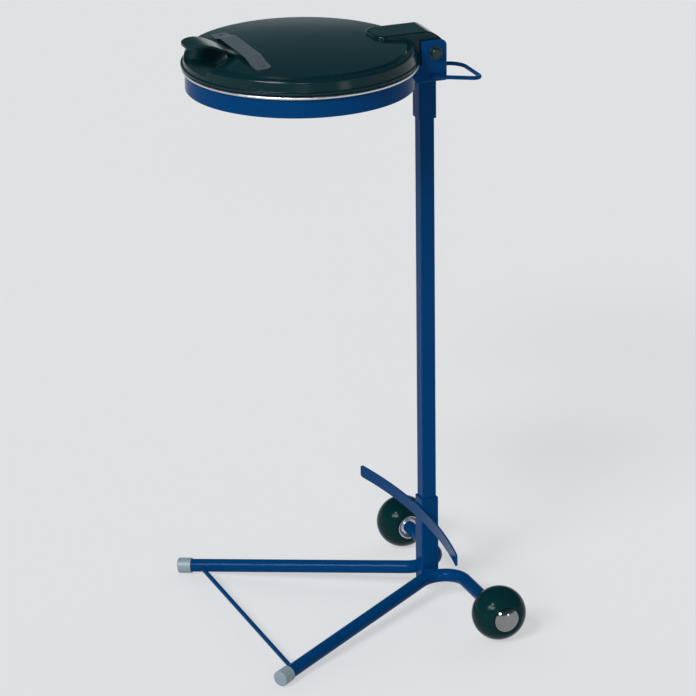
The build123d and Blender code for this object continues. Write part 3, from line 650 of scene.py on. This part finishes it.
class SACKSTAND_OT_weld_bar(bpy.types.Operator):
    """Lay the beads above and below the bowed bar, on the front of the sleeve"""

    bl_idname = "sackstand.weld_bar"
    bl_label = "Weld bowed bar"

    def execute(self, context):
        welds = context.scene.stand_welds
        bar_low, bar_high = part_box("bow_bar")
        sleeve_low, sleeve_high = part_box("lower_sleeve")
        y = sleeve_low[1] - BAR_BEAD_OUT
        left, right = sleeve_low[0] + BAR_BEAD_INSET, sleeve_high[0] - BAR_BEAD_INSET
        runs = [((left, y, level), (right, y, level)) for level in (bar_high[2], bar_low[2])]
        finish_piece(weld(runs, welds.bar, welds.pitch), "bar_weld")
        return {"FINISHED"}


class SACKSTAND_OT_weld_bracket(bpy.types.Operator):
    """Lay the beads between bracket, upper sleeve, ring band and handle"""

    bl_idname = "sackstand.weld_bracket"
    bl_label = "Weld bracket"

    def execute(self, context):
        welds = context.scene.stand_welds
        (low_x, low_y, _), (high_x, high_y, top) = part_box("upper_sleeve")
        level = top - welds.bracket * SLEEVE_BEAD_DROP
        near, far = low_y + SLEEVE_CORNER, high_y - SLEEVE_CORNER
        left, right = low_x + SLEEVE_CORNER, high_x - SLEEVE_CORNER
        runs = [
            ((left, low_y, level), (right, low_y, level)),
            ((left, high_y, level), (right, high_y, level)),
            ((low_x, near, level), (low_x, far, level)),
            ((high_x, near, level), (high_x, far, level)),
        ]
        finish_piece(weld(runs, welds.bracket, welds.pitch), "sleeve_weld")

        band_low, band_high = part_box("ring_band")
        band_radius = (band_high[0] - band_low[0]) / 2
        band_y = (band_low[1] + band_high[1]) / 2
        bracket_low, bracket_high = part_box("hinge_bracket")
        half = bracket_high[0]
        on_band = band_y + math.sqrt(band_radius**2 - half**2) + BAND_BEAD_OUT
        runs = [
            ((side * (half + BAND_BEAD_OUT), on_band, band_low[2] + BAND_BEAD_INSET),
             (side * (half + BAND_BEAD_OUT), on_band, band_low[2] + BAND_BEAD_TOP))
            for side in (1, -1)
        ]
        finish_piece(weld(runs, welds.bracket, welds.pitch), "band_weld")

        leg_x = half + HANDLE_LEG_GAP
        front_y = POST_Y + HANDLE_FRONT
        fall = math.tan(HANDLE_SLOPE)
        base = bracket_low[2] + HANDLE_RISE
        runs = [
            tuple(
                (side * leg_x, front_y + reach, base + offset - reach * fall)
                for reach in HANDLE_BEAD_REACH
            )
            for side in (1, -1) for offset in (HANDLE_GROOVE, -HANDLE_GROOVE)
        ]
        finish_piece(weld(runs, welds.handle, welds.pitch), "handle_weld")
        return {"FINISHED"}


def ring_bead(centre, normal, along, radius, stretch):
    """A rippled bead round a bar that meets a tube at a slant."""
    deselect()
    turn = Matrix((along, normal.cross(along), normal)).transposed()
    bpy.ops.mesh.primitive_torus_add(
        major_segments=RING_SEGMENTS, minor_segments=RING_SIDES, major_radius=radius,
        minor_radius=RING_THICKNESS, location=centre, rotation=turn.to_euler(),
    )
    ring = bpy.context.active_object
    ring.scale = (stretch, 1.0, 1.0)
    bpy.ops.object.transform_apply(location=True, rotation=True, scale=True)
    bpy.ops.object.mode_set(mode="EDIT")
    bpy.ops.mesh.select_mode(type="VERT")
    for segment in range(0, RING_SEGMENTS, 2):
        bpy.ops.mesh.select_all(action="DESELECT")
        bpy.ops.object.mode_set(mode="OBJECT")
        loop = ring.data.vertices[segment * RING_SIDES:(segment + 1) * RING_SIDES]
        loop_centre = sum((point.co for point in loop), Vector()) / RING_SIDES
        for point in loop:
            point.select = True
        bpy.ops.object.mode_set(mode="EDIT")
        bpy.ops.transform.resize(value=(BEAD_WAIST,) * 3, center_override=loop_centre)
    bpy.ops.object.mode_set(mode="OBJECT")
    return ring


class SACKSTAND_OT_weld_brace(bpy.types.Operator):
    """Lay a bead round each end of the brace rod"""

    bl_idname = "sackstand.weld_brace"
    bl_label = "Weld brace rod"

    def execute(self, context):
        (_, low_y, low_z), (_, high_y, high_z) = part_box("brace_rod")
        centre_y, centre_z = (low_y + high_y) / 2, (low_z + high_z) / 2
        radius = (high_z - low_z) / 2 + RING_GAP
        across, back = TUBE_TURN
        normal = Vector((-back, -across, 0.0))
        along = Vector((-across, back, 0.0))
        centre = Vector((TUBE_AT_ROD - TUBE_RADIUS / back, centre_y, centre_z))
        ring = ring_bead(centre, normal, along, radius, 1.0 / back)
        rings = join_parts(ring, copy_mirrored(ring))
        bpy.ops.object.shade_smooth()
        finish_piece(rings, "brace_weld")
        return {"FINISHED"}


def pick_face(piece, way):
    """Selects the end face that looks along +Y or -Y, in edit mode."""
    bpy.ops.mesh.select_mode(type="FACE")
    bpy.ops.mesh.select_all(action="DESELECT")
    bpy.ops.object.mode_set(mode="OBJECT")
    ends = [face for face in piece.data.polygons if face.normal.y * way > FACING]
    if not ends:
        raise RuntimeError(f"{piece.name} has no end face")
    far = max(ends, key=lambda face: face.center.y * way)
    far.select = True
    bpy.ops.object.mode_set(mode="EDIT")


def make_screw(level, seat, head, length):
    """Head drawn up in rings to a low dome, shank drawn the other way, socket cut in."""
    deselect()
    rim = SCREW_HEAD_HEIGHT * SCREW_RIM
    bpy.ops.mesh.primitive_cylinder_add(
        vertices=SCREW_SIDES, radius=head, depth=rim,
        location=(0.0, seat + rim / 2, level), rotation=(-math.pi / 2, 0.0, 0.0),
    )
    screw = bpy.context.active_object
    bpy.ops.object.transform_apply(location=True, rotation=True, scale=True)
    bpy.ops.object.mode_set(mode="EDIT")
    pick_face(screw, 1.0)
    risen, width = rim, 1.0
    for rise, wanted in SCREW_DOME:
        step = SCREW_HEAD_HEIGHT * rise - risen
        bpy.ops.mesh.extrude_region_move(TRANSFORM_OT_translate={"value": (0.0, step, 0.0)})
        risen += step
        bpy.ops.transform.resize(
            value=(wanted / width,) * 3, center_override=(0.0, seat + risen, level),
        )
        width = wanted
    pick_face(screw, -1.0)
    bpy.ops.mesh.inset(thickness=head - SCREW_SHANK_RADIUS)
    bpy.ops.mesh.extrude_region_move(TRANSFORM_OT_translate={"value": (0.0, -length, 0.0)})
    bpy.ops.mesh.select_all(action="SELECT")
    bpy.ops.mesh.normals_make_consistent(inside=False)
    bpy.ops.object.mode_set(mode="OBJECT")
    deselect()
    bpy.ops.mesh.primitive_cylinder_add(
        vertices=6, radius=SCREW_SOCKET_RADIUS, depth=SCREW_HEAD_HEIGHT,
        location=(0.0, seat + SCREW_HEAD_HEIGHT * SCREW_SOCKET_MIDDLE, level),
        rotation=(-math.pi / 2, 0.0, 0.0),
    )
    socket = bpy.context.active_object
    pick(screw)
    cut = screw.modifiers.new("socket", "BOOLEAN")
    cut.operation = "DIFFERENCE"
    cut.object = socket
    bpy.ops.object.modifier_apply(modifier=cut.name)
    bpy.ops.object.shade_smooth_by_angle(angle=SCREW_SMOOTH_ANGLE)
    bpy.data.objects.remove(socket)
    return screw


class SACKSTAND_OT_make_screws(bpy.types.Operator):
    """Turn the post's two button-head screws, with a hexagon socket in each head"""

    bl_idname = "sackstand.make_screws"
    bl_label = "Make post screws"

    def execute(self, context):
        low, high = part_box("post_screws")
        head = (high[0] - low[0]) / 2
        seat = high[1] - SCREW_HEAD_HEIGHT
        lower_level, upper_level = low[2] + head, high[2] - head
        lower = make_screw(lower_level, seat, head, seat - low[1])
        upper = copy_moved(lower, (0.0, 0.0, upper_level - lower_level))
        piece = finish_piece(join_parts(lower, upper), "socket_screws", ZINC)
        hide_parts("post_screws")
        return {"FINISHED"}


class SACKSTAND_OT_build_stage(bpy.types.Operator):
    """Lay the pale floor and set the camera and the soft lights"""

    bl_idname = "sackstand.build_stage"
    bl_label = "Build stage"

    def execute(self, context):
        background = context.scene.stand_colours.background
        build_floor(background)
        build_world(background)
        build_lights()
        build_camera(context.scene.stand_camera)
        context.scene.view_settings.view_transform = "Standard"
        return {"FINISHED"}


def build_floor(colour):
    """Pale floor that keeps a soft shadow and otherwise shows in its own colour."""
    deselect()
    bpy.ops.mesh.primitive_plane_add(size=FLOOR_SIDE, location=(0.0, 0.0, 0.0))
    floor = bpy.context.active_object
    floor.name = "floor"
    finish = Finish("pale_floor")
    cloud = finish.noise(scale=3.0, detail=3.0, roughness=0.5)
    darker, lighter = scaled(colour, 1.0 - FLOOR_CLOUD), scaled(colour, 1.0 + FLOOR_CLOUD)
    finish.set(
        Base_Color=finish.blend(cloud, darker, lighter), Roughness=0.9, Specular_IOR_Level=0.0,
    )
    inputs = {"Color": rgba(colour), "Strength": FLOOR_GLOW}
    glow = finish.node("ShaderNodeEmission", None, inputs)
    shown = finish.background_rays() * FLOOR_OWN_COLOUR
    finish.feed(finish.output.inputs["Surface"], finish.mix(shown, finish.shader, glow))
    floor.data.materials.append(finish.material)


def build_world(colour):
    """Even room light, and a backdrop that is pale low down and shades off above."""
    world = bpy.data.worlds.new("studio_room")
    bpy.context.scene.world = world
    room = Shading(world)
    inputs = {"Color": ROOM_COLOUR, "Strength": ROOM_LIGHT}
    light = room.node("ShaderNodeBackground", None, inputs)
    backdrop = room.node("ShaderNodeBackground", None, {"Color": rgba(colour)})
    direction = room.node("ShaderNodeTexCoord", output="Generated")
    height = room.node("ShaderNodeSeparateXYZ", None, [direction], "Z")
    for low, high, shade in UPPER_ROOM:
        above = room.node("ShaderNodeBackground", None, {"Color": rgba(shade)})
        backdrop = room.mix(room.ramp(height, low, high), backdrop, above)
    seen = room.mix(room.background_rays(), light, backdrop)
    room.node("ShaderNodeOutputWorld", None, {"Surface": seen})


def build_lights():
    """Soft boxes and fills, each as a distant lamp as wide as it looks from the stand."""
    for lamps, mirrored in ((SOFT_BOXES, True), (FILLS, False)):
        for name, towards, width, strength in lamps:
            lamp_data = bpy.data.lights.new(name, "SUN")
            lamp_data.angle = math.radians(width)
            lamp_data.energy = strength
            lamp = bpy.data.objects.new(name, lamp_data)
            bpy.context.scene.collection.objects.link(lamp)
            lamp.rotation_euler = (-Vector(towards)).to_track_quat("-Z", "Y").to_euler()
            lamp.visible_glossy = mirrored


def build_camera(view):
    """Camera that looks as the photograph does, with no shift."""
    azimuth, elevation = view.azimuth, view.elevation
    right = Vector((math.cos(azimuth), math.sin(azimuth), 0.0))
    back = Vector((
        math.sin(azimuth) * math.cos(elevation),
        -math.cos(azimuth) * math.cos(elevation),
        math.sin(elevation),
    ))
    up = back.cross(right)
    focal_pixels = view.pixels_per_metre * view.distance
    half_picture = PHOTO_PIXELS / 2
    pan = math.atan((view.aim_pixel[0] - half_picture) / focal_pixels)
    tilt = math.atan((half_picture - view.aim_pixel[1]) / focal_pixels)
    forward = -back
    right, forward = (
        right * math.cos(pan) + forward * math.sin(pan),
        forward * math.cos(pan) - right * math.sin(pan),
    )
    up, forward = (
        up * math.cos(tilt) + forward * math.sin(tilt),
        forward * math.cos(tilt) - up * math.sin(tilt),
    )
    right, up = (
        right * math.cos(view.roll) - up * math.sin(view.roll),
        right * math.sin(view.roll) + up * math.cos(view.roll),
    )
    camera_data = bpy.data.cameras.new("photo_view")
    camera_data.sensor_width = SENSOR_WIDTH
    camera_data.lens = SENSOR_WIDTH * focal_pixels / PHOTO_PIXELS
    camera_data.clip_end = VIEW_REACH
    camera = bpy.data.objects.new("photo_view", camera_data)
    bpy.context.scene.collection.objects.link(camera)
    turn = Matrix((right, up, -forward)).transposed().to_4x4()
    camera.matrix_world = Matrix.Translation(Vector(view.aim) + back * view.distance) @ turn
    bpy.context.scene.camera = camera


class SACKSTAND_PT_panel(bpy.types.Panel):
    """Lists the stand's steps and settings"""

    bl_label = "Sack Stand"
    bl_idname = "SACKSTAND_PT_panel"
    bl_space_type = "VIEW_3D"
    bl_region_type = "UI"
    bl_category = "Sack Stand"

    def draw(self, context):
        for step in STEPS:
            self.layout.operator(step.bl_idname)
        scene = context.scene
        for group in (scene.stand_colours, scene.stand_welds, scene.stand_camera):
            box = self.layout.box()
            for name in type(group).__annotations__:
                box.prop(group, name)


STEPS = (
    SACKSTAND_OT_finish_steel,
    SACKSTAND_OT_finish_mouldings,
    SACKSTAND_OT_finish_running_gear,
    SACKSTAND_OT_weld_foot,
    SACKSTAND_OT_weld_bar,
    SACKSTAND_OT_weld_bracket,
    SACKSTAND_OT_weld_brace,
    SACKSTAND_OT_make_screws,
    SACKSTAND_OT_build_stage,
)
CLASSES = (StandColours, StandCamera, StandWelds, *STEPS, SACKSTAND_PT_panel)


def register():
    for cls in CLASSES:
        bpy.utils.register_class(cls)
    bpy.types.Scene.stand_colours = bpy.props.PointerProperty(type=StandColours)
    bpy.types.Scene.stand_camera = bpy.props.PointerProperty(type=StandCamera)
    bpy.types.Scene.stand_welds = bpy.props.PointerProperty(type=StandWelds)


def unregister():
    del bpy.types.Scene.stand_welds
    del bpy.types.Scene.stand_camera
    del bpy.types.Scene.stand_colours
    for cls in reversed(CLASSES):
        bpy.utils.unregister_class(cls)


def main():
    """Runs every step in order."""
    register()
    deselect()
    for step in STEPS:
        group, name = step.bl_idname.split(".")
        getattr(getattr(bpy.ops, group), name)()


if __name__ == "__main__":
    main()
